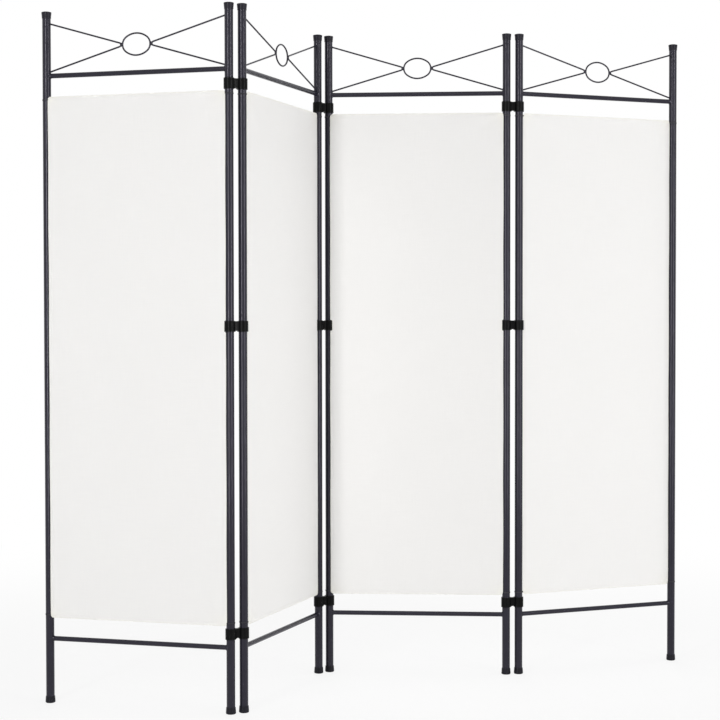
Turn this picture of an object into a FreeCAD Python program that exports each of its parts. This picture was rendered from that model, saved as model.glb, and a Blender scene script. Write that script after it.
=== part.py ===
import FreeCAD, Part
import math
import os

# A four-panel folding screen of steel tube. Each panel is a frame of two uprights, two rails and an
# openwork header, with a fabric sheet looped to the uprights. Moulded double-ring clips hinge one
# panel's right upright to the next panel's left upright at three heights.
# +X runs along the screen, +Y away from the side with the fabric, +Z up. The origin is on the floor,
# under the middle of the screen's bounding box.

Vector = FreeCAD.Vector
UP = Vector(0, 0, 1)
FULL_TURN = 360.0
HALF_TURN = 180.0
QUARTER_TURN = 90.0
# How far along and across its corner a round of a quarter turn bulges, as a share of its radius
CORNER_SHARE = math.sqrt(1 / 2)

# Driving dimensions, in millimetres and degrees
SCREEN_HEIGHT = 1800.0
POLE_SPACING = 500.0
HINGE_SPACING = 36.0
PANEL_HEADINGS = (-15.0, 69.0, -4.0, 21.5)

# Uprights: four tubes each, pushed together on swaged spigots
POLE_DIAMETER = 22.0
POLE_WALL = 0.9
TOP_TUBE_LENGTH = 316.0
MIDDLE_JOINT_HEIGHT = 880.0
FOOT_JOINT_HEIGHT = 319.0
SPIGOT_LENGTH = 32.0
SPIGOT_CLEARANCE = 0.15
SPIGOT_LEAD_IN = 1.5
TUBE_EDGE_CHAMFER = 0.4

# Rails: thinner tube, coped to the uprights and welded
RAIL_DIAMETER = 12.7
RAIL_WALL = 0.8
TOP_RAIL_DROP = 166.0
BOTTOM_RAIL_HEIGHT = 169.0
WELD_LEG = 1.5
WELD_GAP = 0.15

# Header: two bent rods that hold an oval ring between them
ROD_DIAMETER = 4.4
ROD_TOP_DROP = 32.0
ROD_FOOT_GAP = 0.5
ROD_BEND_RADIUS = 5.0
RING_WIDTH = 80.0
RING_HEIGHT = 60.5
RING_END_RADIUS = 23.0

# Plastic caps on top of the uprights
CAP_HEIGHT = 17.0
CAP_TOP_DIAMETER = 26.0
CAP_RIM_WALL = 0.8
CAP_CROWN = 3.0
CAP_SKIRT = 4.0
CAP_DOME = 1.0
CAP_FLAT_DIAMETER = 16.0
CAP_EDGE_RADIUS = 1.2
CAP_BORE_CLEARANCE = 0.1

# Plastic feet under the uprights
FOOT_HEIGHT = 17.0
FOOT_DIAMETER = 26.0
FOOT_RIM_WALL = 1.0
FOOT_SOLE = 3.0
FOOT_EDGE_RADIUS = 3.0

# Moulded double-ring hinge clips
CLIP_HEIGHT = 28.0
CLIP_WALL = 2.6
CLIP_RUNNING_CLEARANCE = 0.08
CLIP_EDGE_RADIUS = 0.9
CLIP_BORE_CHAMFER = 0.5
CLIP_WEB_ROOT = 16.0
CLIP_WEB_WAIST = 10.0
CLIP_ARCH_WIDTH = 9.0
CLIP_ARCH_DEPTH = 2.2
TOP_CLIP_DROP = 37.0
MIDDLE_CLIP_HEIGHT = 985.0
BOTTOM_CLIP_RISE = 35.0

# Fabric sheets, each ending against its uprights at a contact angle counted from the panel's plane
FABRIC_THICKNESS = 0.8
FABRIC_CLEARANCE = 0.3
FABRIC_TOP_GAP = 55.0
FABRIC_BOTTOM_GAP = 56.0
FABRIC_CORNER_RADIUS = 8.0
FABRIC_CONTACT_ANGLES = ((55.0, 55.0), (75.0, 12.0), (70.0, 45.0), (25.0, 8.0))
NOTCH_CLEARANCE = 0.8

# Elastic loops that hold the fabric's corners to the uprights
LOOP_WIDTH = 5.0
LOOP_THICKNESS = 0.9
LOOP_CLEARANCE = 0.25
LOOP_INSET = 8.0
LOOP_END_GAP = 0.3

# How far a cutting solid runs past what it cuts
OVERRUN = 5.0

# Sizes that follow from the values above
POLE_RADIUS = POLE_DIAMETER / 2
RAIL_RADIUS = RAIL_DIAMETER / 2
ROD_RADIUS = ROD_DIAMETER / 2
COPE_RADIUS = POLE_RADIUS + WELD_GAP
CLIP_BORE_RADIUS = POLE_RADIUS + CLIP_RUNNING_CLEARANCE
CLIP_RING_RADIUS = CLIP_BORE_RADIUS + CLIP_WALL
TOP_RAIL_HEIGHT = SCREEN_HEIGHT - TOP_RAIL_DROP
TOP_JOINT_HEIGHT = SCREEN_HEIGHT - TOP_TUBE_LENGTH
CLIP_HEIGHTS = (
    BOTTOM_RAIL_HEIGHT + BOTTOM_CLIP_RISE,
    MIDDLE_CLIP_HEIGHT,
    TOP_RAIL_HEIGHT - TOP_CLIP_DROP,
)
FABRIC_BOTTOM = BOTTOM_RAIL_HEIGHT + FABRIC_BOTTOM_GAP
FABRIC_TOP = TOP_RAIL_HEIGHT - FABRIC_TOP_GAP
FABRIC_EDGE_RADIUS = POLE_RADIUS + FABRIC_CLEARANCE + FABRIC_THICKNESS / 2
PANEL_COUNT = len(PANEL_HEADINGS)


def revolved(profile):
    """A solid of revolution about Z from (radius, height) points."""
    points = [Vector(radius, 0, height) for radius, height in profile]
    face = Part.Face(Part.makePolygon(points + points[:1]))
    return face.revolve(Vector(0, 0, 0), UP, FULL_TURN)


def upright_cylinder(x, radius, low, high, y=0.0):
    """A plain vertical cylinder at (x, y) in a panel's own frame."""
    return Part.makeCylinder(radius, high - low, Vector(x, y, low), UP)


def pole_tube(low, high, spigot):
    """One tube of an upright, with a swaged spigot on its upper end where another tube goes over it."""
    outer = POLE_RADIUS
    bore = POLE_RADIUS - POLE_WALL
    edge = TUBE_EDGE_CHAMFER
    profile = [(bore, low), (outer - edge, low), (outer, low + edge)]
    profile += [(outer, high - edge), (outer - edge, high)]
    if spigot:
        neck = bore - SPIGOT_CLEARANCE
        neck_bore = neck - POLE_WALL
        tip = high + SPIGOT_LENGTH
        profile += [(neck, high), (neck, tip - SPIGOT_LEAD_IN), (neck - edge, tip)]
        profile += [(neck_bore, tip), (neck_bore, high), (bore, high - SPIGOT_LEAD_IN)]
    else:
        profile += [(bore, high)]
    return revolved(profile)


def coped(shape, low, high):
    """Shape with both uprights' outlines, and a hair more for the weld, cut away."""
    for x in (0.0, POLE_SPACING):
        shape = shape.cut(upright_cylinder(x, COPE_RADIUS, low, high))
    return shape


def rail(height):
    """A rail between the uprights, with weld fillets where it meets them."""
    along = Vector(1, 0, 0)
    shape = Part.makeCylinder(RAIL_RADIUS, POLE_SPACING, Vector(0, 0, height), along)
    weld_reach = COPE_RADIUS + WELD_LEG
    weld = Part.makeCone(RAIL_RADIUS + weld_reach, RAIL_RADIUS, weld_reach, Vector(0, 0, height), along)
    collar = Part.makeCylinder(RAIL_RADIUS + WELD_LEG, weld_reach, Vector(0, 0, height), along)
    left_weld = weld.common(collar)
    right_weld = left_weld.mirror(Vector(POLE_SPACING / 2, 0, 0), along)
    shape = shape.fuse([left_weld, right_weld])
    bore = Part.makeCylinder(RAIL_RADIUS - RAIL_WALL, POLE_SPACING, Vector(0, 0, height), along)
    reach = RAIL_RADIUS + WELD_LEG + OVERRUN
    return coped(shape.cut(bore), height - reach, height + reach).removeSplitter()


def rod_ends():
    """Heights at which a header rod's two legs meet the upright."""
    upper = SCREEN_HEIGHT - ROD_TOP_DROP
    lower = TOP_RAIL_HEIGHT + RAIL_RADIUS + WELD_LEG + ROD_FOOT_GAP + ROD_DIAMETER / 2
    return lower, upper


def rod_arc(centre, radius, start, sweep):
    """Round rod bent to an arc in the XZ plane: start and sweep in degrees, counted from +X towards +Z."""
    turn = math.radians(start)
    outward = Vector(math.cos(turn), 0, math.sin(turn))
    along = Vector(-math.sin(turn), 0, math.cos(turn))
    section = Part.Face(Part.Wire([Part.makeCircle(ROD_RADIUS, centre + outward * radius, along)]))
    return section.revolve(centre, Vector(0, -1, 0), sweep)


def bent_rod():
    """The left header rod: one wire from the upright to the ring's side and back, with a round bend."""
    lower, upper = rod_ends()
    middle = (lower + upper) / 2
    bend = ROD_BEND_RADIUS
    apex_x = (POLE_SPACING - RING_WIDTH) / 2 - WELD_GAP - ROD_RADIUS
    centre = Vector(apex_x - bend, 0, middle)
    half_rise = (upper - lower) / 2
    run = centre.x - POLE_RADIUS
    # A leg is tangent to the bend, so its slope comes from the right triangle that they make
    slope = math.atan2(half_rise, run) - math.asin(bend / math.hypot(run, half_rise))
    lean = QUARTER_TURN - math.degrees(slope)
    rod = rod_arc(centre, bend, -lean, 2 * lean)
    length = (centre.x + bend * math.sin(slope)) / math.cos(slope)
    for side in (-1, 1):
        touch = centre + Vector(math.sin(slope), 0, side * math.cos(slope)) * bend
        leg = Vector(-math.cos(slope), 0, side * math.sin(slope))
        rod = rod.fuse(Part.makeCylinder(ROD_RADIUS, length, touch, leg))
    reach = half_rise + ROD_DIAMETER + OVERRUN
    return coped(rod.removeSplitter(), middle - reach, middle + reach)


def cross_rods():
    """Both header rods, the right one a mirror of the left."""
    left = bent_rod()
    right = left.mirror(Vector(POLE_SPACING / 2, 0, 0), Vector(1, 0, 0))
    return Part.makeCompound([left, right])


def oval_ring():
    """The header's ring: round rod bent to an oval of four arcs that are tangent where they meet."""
    lower, upper = rod_ends()
    centre = Vector(POLE_SPACING / 2, 0, (lower + upper) / 2)
    half_width = RING_WIDTH / 2 - ROD_RADIUS
    half_height = RING_HEIGHT / 2 - ROD_RADIUS
    end = RING_END_RADIUS
    offset = half_width - end
    # The flat arcs' radius follows from their being tangent to the end arcs
    flat = (offset ** 2 + half_height ** 2 - end ** 2) / (2 * (half_height - end))
    drop = flat - half_height
    lean = math.degrees(math.atan2(drop, offset))
    end_sweep = 2 * lean
    flat_sweep = HALF_TURN - end_sweep
    ring = rod_arc(centre + Vector(offset, 0, 0), end, -lean, end_sweep)
    ring = ring.fuse([
        rod_arc(centre - Vector(0, 0, drop), flat, lean, flat_sweep),
        rod_arc(centre - Vector(offset, 0, 0), end, HALF_TURN - lean, end_sweep),
        rod_arc(centre + Vector(0, 0, drop), flat, HALF_TURN + lean, flat_sweep),
    ])
    return ring.removeSplitter()


def profile_solid(points, rounded):
    """A solid of revolution about Z from (radius, height) corners; rounded names arcs by their last corner."""
    edges = []
    places = [Vector(radius, 0, height) for radius, height in points]
    for index, first in enumerate(places):
        following = (index + 1) % len(places)
        last = places[following]
        if following in rounded:
            radius, height = rounded[following]
            edges.append(Part.Arc(first, Vector(radius, 0, height), last).toShape())
        else:
            edges.append(Part.LineSegment(first, last).toShape())
    return Part.Face(Part.Wire(edges)).revolve(Vector(0, 0, 0), UP, FULL_TURN)


def cap():
    """A flared cap with a slightly raised crown: its skirt goes over the upright's top end."""
    top = SCREEN_HEIGHT
    low = top - CAP_HEIGHT
    bore = POLE_RADIUS + CAP_BORE_CLEARANCE
    rim = bore + CAP_RIM_WALL
    outer = CAP_TOP_DIAMETER / 2
    edge = CAP_EDGE_RADIUS
    shoulder = top - CAP_DOME - edge
    bulge = edge * CORNER_SHARE
    return profile_solid(
        [
            (0, top - CAP_CROWN),
            (bore, top - CAP_CROWN),
            (bore, low),
            (rim, low),
            (rim, low + CAP_SKIRT),
            (outer, shoulder),
            (outer - edge, top - CAP_DOME),
            (CAP_FLAT_DIAMETER / 2, top),
            (0, top),
        ],
        {6: (outer - edge + bulge, shoulder + bulge)},
    )


def foot():
    """A cup-shaped foot with a rounded sole edge, pushed on the upright's bottom end."""
    bore = POLE_RADIUS + CAP_BORE_CLEARANCE
    outer = FOOT_DIAMETER / 2
    edge = FOOT_EDGE_RADIUS
    bulge = edge * CORNER_SHARE
    return profile_solid(
        [
            (0, 0),
            (outer - edge, 0),
            (outer, edge),
            (bore + FOOT_RIM_WALL, FOOT_HEIGHT),
            (bore, FOOT_HEIGHT),
            (bore, FOOT_SOLE),
            (0, FOOT_SOLE),
        ],
        {2: (outer - edge + bulge, edge - bulge)},
    )


def clip_ring():
    """One ring of a hinge clip, with rounded rims and no bore yet."""
    half = CLIP_HEIGHT / 2
    outer = CLIP_RING_RADIUS
    edge = CLIP_EDGE_RADIUS
    bulge = edge * CORNER_SHARE
    return profile_solid(
        [
            (0, -half),
            (outer - edge, -half),
            (outer, edge - half),
            (outer, half - edge),
            (outer - edge, half),
            (0, half),
        ],
        {2: (outer - edge + bulge, edge - half - bulge), 4: (outer - edge + bulge, half - edge + bulge)},
    )


def clip_bore():
    """What a ring's bore cuts away, with a small chamfer at each mouth."""
    half = CLIP_HEIGHT / 2
    mouth = CLIP_BORE_RADIUS + CLIP_BORE_CHAMFER
    straight = half - CLIP_BORE_CHAMFER
    return revolved([
        (0, -half - OVERRUN), (mouth, -half - OVERRUN), (mouth, -half), (CLIP_BORE_RADIUS, -straight),
        (CLIP_BORE_RADIUS, straight), (mouth, half), (mouth, half + OVERRUN), (0, half + OVERRUN),
    ])


def clip_web():
    """The clip's web: narrow between the rings, straight on top, with a shallow arch under it."""
    half = CLIP_HEIGHT / 2 - CLIP_EDGE_RADIUS
    root = CLIP_WEB_ROOT / 2
    waist = CLIP_WEB_WAIST / 2
    middle = HINGE_SPACING / 2
    near = [Vector(0, -root, -half), Vector(middle, -waist, -half), Vector(HINGE_SPACING, -root, -half)]
    far = [Vector(HINGE_SPACING, root, -half), Vector(middle, waist, -half), Vector(0, root, -half)]
    plan = Part.Wire([
        Part.Arc(*near).toShape(),
        Part.LineSegment(near[-1], far[0]).toShape(),
        Part.Arc(*far).toShape(),
        Part.LineSegment(far[-1], near[0]).toShape(),
    ])
    web = Part.Face(plan).extrude(Vector(0, 0, 2 * half))
    half_arch = CLIP_ARCH_WIDTH / 2
    radius = (half_arch ** 2 + CLIP_ARCH_DEPTH ** 2) / (2 * CLIP_ARCH_DEPTH)
    centre = half + radius - CLIP_ARCH_DEPTH
    width = CLIP_WEB_ROOT + OVERRUN
    arch = Part.makeCylinder(radius, width, Vector(middle, -width / 2, -centre), Vector(0, 1, 0))
    return web.cut(arch)


def clip():
    """One moulded hinge clip, centred on its height: two rings joined by an arched, waisted web."""
    second_axis = Vector(HINGE_SPACING, 0, 0)
    body = clip_web().fuse([clip_ring(), clip_ring().translated(second_axis)])
    return body.cut([clip_bore(), clip_bore().translated(second_axis)])


def fabric_edge(angle, right):
    """Where the sheet's middle plane ends beside an upright, in the panel's own plan."""
    turn = math.radians(angle)
    inward = FABRIC_EDGE_RADIUS * math.cos(turn)
    forward = -FABRIC_EDGE_RADIUS * math.sin(turn)
    if right:
        return Vector(POLE_SPACING - inward, forward, 0)
    return Vector(inward, forward, 0)


def fabric(panel):
    """The stretched sheet: round corners, and notches round the middle clips."""
    left_angle, right_angle = FABRIC_CONTACT_ANGLES[panel]
    left = fabric_edge(left_angle, False)
    right = fabric_edge(right_angle, True)
    width = (right - left).Length
    half = FABRIC_THICKNESS / 2
    sheet = Part.makeBox(width, FABRIC_THICKNESS, FABRIC_TOP - FABRIC_BOTTOM, Vector(0, -half, 0))
    corners = [edge for edge in sheet.Edges if abs(edge.Vertexes[0].Y - edge.Vertexes[1].Y) > half]
    sheet = sheet.makeFillet(FABRIC_CORNER_RADIUS, corners)
    heading = math.degrees(math.atan2(right.y - left.y, right.x - left.x))
    sheet.rotate(Vector(0, 0, 0), UP, heading)
    sheet.translate(left + Vector(0, 0, FABRIC_BOTTOM))
    notch = CLIP_HEIGHT / 2 + NOTCH_CLEARANCE
    low = MIDDLE_CLIP_HEIGHT - notch
    high = MIDDLE_CLIP_HEIGHT + notch
    radius = CLIP_RING_RADIUS + NOTCH_CLEARANCE
    if panel > 0:
        sheet = sheet.cut(upright_cylinder(0.0, radius, low, high))
    if panel < PANEL_COUNT - 1:
        sheet = sheet.cut(upright_cylinder(POLE_SPACING, radius, low, high))
    return sheet


def loop(angle, height, right):
    """One elastic loop: a band round the upright, open where the fabric's edge is sewn into it."""
    inner = POLE_RADIUS + LOOP_CLEARANCE
    outer = inner + LOOP_THICKNESS
    turn = math.radians(angle)
    depth = FABRIC_EDGE_RADIUS * math.sin(turn)
    reach = FABRIC_EDGE_RADIUS * math.cos(turn)
    margin = FABRIC_THICKNESS / 2 + LOOP_END_GAP
    behind = math.degrees(math.asin((depth - margin) / outer))
    beyond = math.degrees(math.atan2(depth + margin, reach) + margin / outer)
    sweep = FULL_TURN - (beyond - behind)
    low = height - LOOP_WIDTH / 2
    # The band starts past the fabric's edge and goes round the outer side and the back
    band = Part.makeCylinder(outer, LOOP_WIDTH, Vector(0, 0, low), UP, sweep)
    band = band.cut(upright_cylinder(0.0, inner, low - OVERRUN, low + LOOP_WIDTH + OVERRUN))
    band.rotate(Vector(0, 0, 0), UP, -behind)
    if right:
        band = band.mirror(Vector(0, 0, 0), Vector(1, 0, 0))
        band.translate(Vector(POLE_SPACING, 0, 0))
    return band


def fabric_loops(panel):
    """The four loops of one sheet, near its corners."""
    bands = []
    for height in (FABRIC_BOTTOM + LOOP_INSET, FABRIC_TOP - LOOP_INSET):
        for right, angle in enumerate(FABRIC_CONTACT_ANGLES[panel]):
            bands.append(loop(angle, height, bool(right)))
    return Part.makeCompound(bands)


def polar(length, heading):
    """A plan vector from its length and heading in degrees."""
    turn = math.radians(heading)
    return Vector(length * math.cos(turn), length * math.sin(turn), 0)


def hinge_headings():
    """Each clip row points half way between the headings of the two panels that it joins."""
    return [(first + second) / 2 for first, second in zip(PANEL_HEADINGS, PANEL_HEADINGS[1:])]


def pole_plan():
    """Plan positions of each panel's left and right upright, about the bounding box's middle."""
    spot = Vector(0, 0, 0)
    places = []
    for index, heading in enumerate(PANEL_HEADINGS):
        far = spot + polar(POLE_SPACING, heading)
        places.append((spot, far))
        if index < PANEL_COUNT - 1:
            spot = far + polar(HINGE_SPACING, hinge_headings()[index])
    end_radius = max(CAP_TOP_DIAMETER, FOOT_DIAMETER) / 2
    hinged_radius = max(end_radius, CLIP_RING_RADIUS)
    spans = []
    for index, (near, far) in enumerate(places):
        spans.append((near, end_radius if index == 0 else hinged_radius))
        spans.append((far, end_radius if index == PANEL_COUNT - 1 else hinged_radius))
    low_x = min(place.x - radius for place, radius in spans)
    high_x = max(place.x + radius for place, radius in spans)
    low_y = min(place.y - radius for place, radius in spans)
    high_y = max(place.y + radius for place, radius in spans)
    middle = Vector((low_x + high_x) / 2, (low_y + high_y) / 2, 0)
    return [(near - middle, far - middle) for near, far in places]


def placed(shape, spot, heading):
    """A copy of shape, turned to a heading and moved to a plan position."""
    shape = shape.copy()
    shape.rotate(Vector(0, 0, 0), UP, heading)
    shape.translate(spot)
    return shape


def at_both_poles(shape):
    """The same small piece on the left and the right upright."""
    twin = shape.copy()
    twin.translate(Vector(POLE_SPACING, 0, 0))
    return Part.makeCompound([shape, twin])


def upright_pieces():
    """The tubes of one upright by name, standing on the panel's left axis."""
    top_tube = pole_tube(TOP_JOINT_HEIGHT, SCREEN_HEIGHT - CAP_CROWN, False)
    middle_tubes = Part.makeCompound([
        pole_tube(MIDDLE_JOINT_HEIGHT, TOP_JOINT_HEIGHT, True),
        pole_tube(FOOT_JOINT_HEIGHT, MIDDLE_JOINT_HEIGHT, True),
    ])
    foot_tube = pole_tube(FOOT_SOLE, FOOT_JOINT_HEIGHT, True)
    return {"top_tube": top_tube, "middle_tubes": middle_tubes, "foot_tube": foot_tube}


def frame_pieces():
    """Every piece of a panel's frame, in the panel's own frame: the same on all panels."""
    pieces = {}
    for name, shape in upright_pieces().items():
        pieces["left_" + name] = shape
        twin = shape.copy()
        twin.translate(Vector(POLE_SPACING, 0, 0))
        pieces["right_" + name] = twin
    pieces["top_rail"] = rail(TOP_RAIL_HEIGHT)
    pieces["bottom_rail"] = rail(BOTTOM_RAIL_HEIGHT)
    pieces["cross_rods"] = cross_rods()
    pieces["oval_ring"] = oval_ring()
    pieces["caps"] = at_both_poles(cap())
    pieces["feet"] = at_both_poles(foot())
    return pieces


def hinge_clips():
    """The three clips of one hinge line, from the first upright's axis."""
    shape = clip()
    clips = []
    for height in CLIP_HEIGHTS:
        one = shape.copy()
        one.translate(Vector(0, 0, height))
        clips.append(one)
    return Part.makeCompound(clips)


def export(name, shape):
    shape.exportStep("parts/" + name + ".step")


def main():
    os.makedirs("parts", exist_ok=True)
    plan = pole_plan()
    frame = frame_pieces()
    for index, heading in enumerate(PANEL_HEADINGS):
        prefix = "panel_" + str(index + 1) + "_"
        spot = plan[index][0]
        for name, shape in frame.items():
            export(prefix + name, placed(shape, spot, heading))
        export(prefix + "fabric", placed(fabric(index), spot, heading))
        export(prefix + "loops", placed(fabric_loops(index), spot, heading))
    clips = hinge_clips()
    for index, heading in enumerate(hinge_headings()):
        export("hinge_" + str(index + 1) + "_clips", placed(clips, plan[index][1], heading))


main()
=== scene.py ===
"""Looks for a four-panel folding screen: stretched sheets, elastic loops, welds, finishes and a studio."""

import math

import bmesh
import bpy
import numpy as np
from bpy.props import FloatProperty, FloatVectorProperty, IntProperty, PointerProperty
from mathutils import Matrix, Vector


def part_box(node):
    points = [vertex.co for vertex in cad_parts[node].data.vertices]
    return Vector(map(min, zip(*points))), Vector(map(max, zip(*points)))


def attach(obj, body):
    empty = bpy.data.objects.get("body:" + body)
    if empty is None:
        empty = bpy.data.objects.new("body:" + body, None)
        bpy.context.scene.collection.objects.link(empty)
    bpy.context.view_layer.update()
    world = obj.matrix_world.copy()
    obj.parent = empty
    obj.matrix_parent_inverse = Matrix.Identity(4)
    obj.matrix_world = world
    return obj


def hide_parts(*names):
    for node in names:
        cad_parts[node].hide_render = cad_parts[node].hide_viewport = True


bl_info = {
    "name": "Folding screen",
    "version": (1, 0, 0),
    "blender": (4, 5, 0),
    "location": "3D View > Sidebar > Screen",
    "description": "Sheets, elastic loops, welds and finishes for a folding screen of steel tube",
    "category": "Object",
}

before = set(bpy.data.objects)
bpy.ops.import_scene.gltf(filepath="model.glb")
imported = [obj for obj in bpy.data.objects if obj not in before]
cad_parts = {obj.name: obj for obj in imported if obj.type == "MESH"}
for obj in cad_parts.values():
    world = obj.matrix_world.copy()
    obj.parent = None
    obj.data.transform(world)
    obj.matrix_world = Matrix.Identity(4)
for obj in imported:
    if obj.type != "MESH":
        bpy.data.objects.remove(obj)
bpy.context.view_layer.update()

MILLIMETRE = 0.001
MERGE_DISTANCE = 0.002 * MILLIMETRE
UPWARDS = np.array([0, 0, 1.0])
PANELS = (1, 2, 3, 4)
HINGES = (1, 2, 3)
SIDES = ("left", "right")
TUBES = ("top_tube", "middle_tubes", "foot_tube")
PAINTED = [side + "_" + tube for side in SIDES for tube in TUBES]
PAINTED += ["top_rail", "bottom_rail", "cross_rods", "oval_ring"]


# Where things are, read from the frame

def node_points(node):
    """A node's vertices as an array of places in metres."""
    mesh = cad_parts[node].data
    points = np.empty(3 * len(mesh.vertices))
    mesh.vertices.foreach_get("co", points)
    return points.reshape(-1, 3)


def box_middle(node):
    """Plan position of the middle of a node's box."""
    low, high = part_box(node)
    return (np.array(low) + np.array(high))[:2] / 2


class PanelFrame:
    """A panel's own frame: x from the left upright's axis to the right one's, y to the back, z up."""

    def __init__(self, number):
        self.number = number
        self.body = "panel_{}".format(number)
        self.left, right = [box_middle(self.node(side + "_top_tube")) for side in SIDES]
        self.spacing = float(np.hypot(*(right - self.left)))
        self.along = (right - self.left) / self.spacing
        self.back = np.array([-self.along[1], self.along[0]])
        # A tube's vertices lie on its round, and its facets a little inside it
        self.pole_radius = float(np.hypot(*(self.local("left_top_tube")[:, :2]).T).max())

    def node(self, piece):
        return "panel_{}_{}".format(self.number, piece)

    def to_row(self, points):
        """Points in the panel's frame, turned and moved into the row frame."""
        points = np.asarray(points, float)
        plan = self.left + points[..., :1] * self.along + points[..., 1:2] * self.back
        return np.concatenate([plan, points[..., 2:]], axis=-1)

    def way_in_row(self, way):
        """A level direction in the panel's frame, turned into the row frame."""
        return np.append(way[0] * self.along + way[1] * self.back, 0)

    def local(self, piece):
        """The vertices of one of the panel's nodes, in the panel's frame."""
        points = node_points(self.node(piece))
        offset = points[:, :2] - self.left
        return np.stack([offset @ self.along, offset @ self.back, points[:, 2]], axis=1)


# Meshes from arrays

def grid_faces(rows, columns, close_rows=False, close_columns=False):
    """Quads between neighbours of a grid whose vertex (i, j) has the index i * columns + j."""
    i = np.arange(rows if close_rows else rows - 1)[:, None]
    j = np.arange(columns if close_columns else columns - 1)[None, :]
    after = (i + 1) % rows
    beside = (j + 1) % columns
    corners = [i * columns + j, i * columns + beside, after * columns + beside, after * columns + j]
    return np.stack(np.broadcast_arrays(*corners), axis=-1).reshape(-1, 4)


def joined(parts):
    """Several (points, faces) pairs as one."""
    places = [points.reshape(-1, 3) for points, faces in parts]
    starts = np.cumsum([0] + [len(points) for points in places[:-1]])
    return np.concatenate(places), np.concatenate([p[1] + start for p, start in zip(parts, starts)])


def new_object(name, data):
    made = bpy.data.objects.new(name, data)
    bpy.context.scene.collection.objects.link(made)
    return made


def mesh_object(name, points, faces, maps=None, masks=()):
    """A smooth mesh object from arrays of places and quads: doubles merged, faces outwards. Maps are places
    on the surface, one for each vertex, and masks are pairs of a name and numbers from 0 to 1."""
    mesh = bpy.data.meshes.new(name)
    mesh.from_pydata(points.reshape(-1, 3).tolist(), [], faces.tolist())
    for mask, values in masks:
        attribute = mesh.attributes.new(mask, "FLOAT", "POINT")
        attribute.data.foreach_set("value", values.astype(np.float32).ravel())
    if maps is not None:
        layer = mesh.uv_layers.new(name="surface")
        layer.uv.foreach_set("vector", maps.reshape(-1, 2)[faces.ravel()].astype(np.float32).ravel())
    work = bmesh.new()
    work.from_mesh(mesh)
    bmesh.ops.remove_doubles(work, verts=work.verts, dist=MERGE_DISTANCE)
    bmesh.ops.recalc_face_normals(work, faces=work.faces)
    work.to_mesh(mesh)
    work.free()
    mesh.shade_smooth()
    return new_object(name, mesh)


def dress(piece, body, material):
    """Gives a new piece its material, and has it ride on its body."""
    piece.data.materials.append(material)
    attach(piece, body)


def smooth_step(t):
    """0 below 0, 1 above 1, and 3t² - 2t³ between."""
    t = np.clip(t, 0, 1)
    return t * t * (3 - 2 * t)


def unit(vectors):
    """Vectors divided by their lengths."""
    vectors = np.asarray(vectors, float)
    return vectors / np.linalg.norm(vectors, axis=-1, keepdims=True)


def swept(path, profile, across, up, closed=False):
    """A closed profile carried along a path. Vertex (i, j) is path i + across i * profile j.x + up i *
    profile j.y. An open path gets a further row at each end, drawn in to a point, which closes it."""
    path, across, up = [np.asarray(a, float) for a in (path, across, up)]
    points = path[:, None] + across[:, None] * profile[None, :, :1] + up[:, None] * profile[None, :, 1:2]
    if not closed:
        ends = [np.broadcast_to(row.mean(0), row.shape)[None] for row in (points[0], points[-1])]
        points = np.concatenate([ends[0], points, ends[1]])
    rows, columns = points.shape[:2]
    return points, grid_faces(rows, columns, closed, True)


def spindles(centres, along, across, out, length, diameter, sides=5):
    """One stitch at each centre: a spindle as thick as its thread, which runs to a point at both ends."""
    shares = np.array([[-1, 0], [-0.72, 0.75], [0, 1], [0.72, 0.75], [1, 0]])
    turn = np.arange(sides) * 2 * np.pi / sides
    circle = np.stack([np.cos(turn), np.sin(turn)], axis=1) * diameter / 2
    centres, along, across, out = [a[:, None, None] for a in np.broadcast_arrays(centres, along, across, out)]
    step = shares[None, :, None, :1] * length / 2
    radius = shares[None, :, None, 1:]
    points = centres + along * step + radius * (across * circle[:, :1] + out * circle[:, 1:])
    one = grid_faces(len(shares), sides, False, True)
    faces = one[None] + (np.arange(len(points)) * len(shares) * sides)[:, None, None]
    return points, faces.reshape(-1, 4)


# Shader maths

class Value:
    """A value in a material. An operator on it adds the Math node that works it out."""

    def __init__(self, shader, socket):
        self.shader = shader
        self.socket = socket

    def maths(self, operation, *values):
        return self.shader.node("ShaderNodeMath", dict(enumerate(values)), operation=operation)

    def __add__(self, other):
        return self.maths("ADD", self, other)

    def __radd__(self, other):
        return self.maths("ADD", other, self)

    def __sub__(self, other):
        return self.maths("SUBTRACT", self, other)

    def __rsub__(self, other):
        return self.maths("SUBTRACT", other, self)

    def __mul__(self, other):
        return self.maths("MULTIPLY", self, other)

    def __rmul__(self, other):
        return self.maths("MULTIPLY", other, self)

    def __abs__(self):
        return self.maths("ABSOLUTE", self)

    def cosine(self):
        return self.maths("COSINE", self)

    def clamped(self, low, high):
        """0 at low, 1 at high and smooth between."""
        sockets = {0: self, 1: low, 2: high}
        return self.shader.node("ShaderNodeMapRange", sockets, interpolation_type="SMOOTHSTEP")


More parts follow.
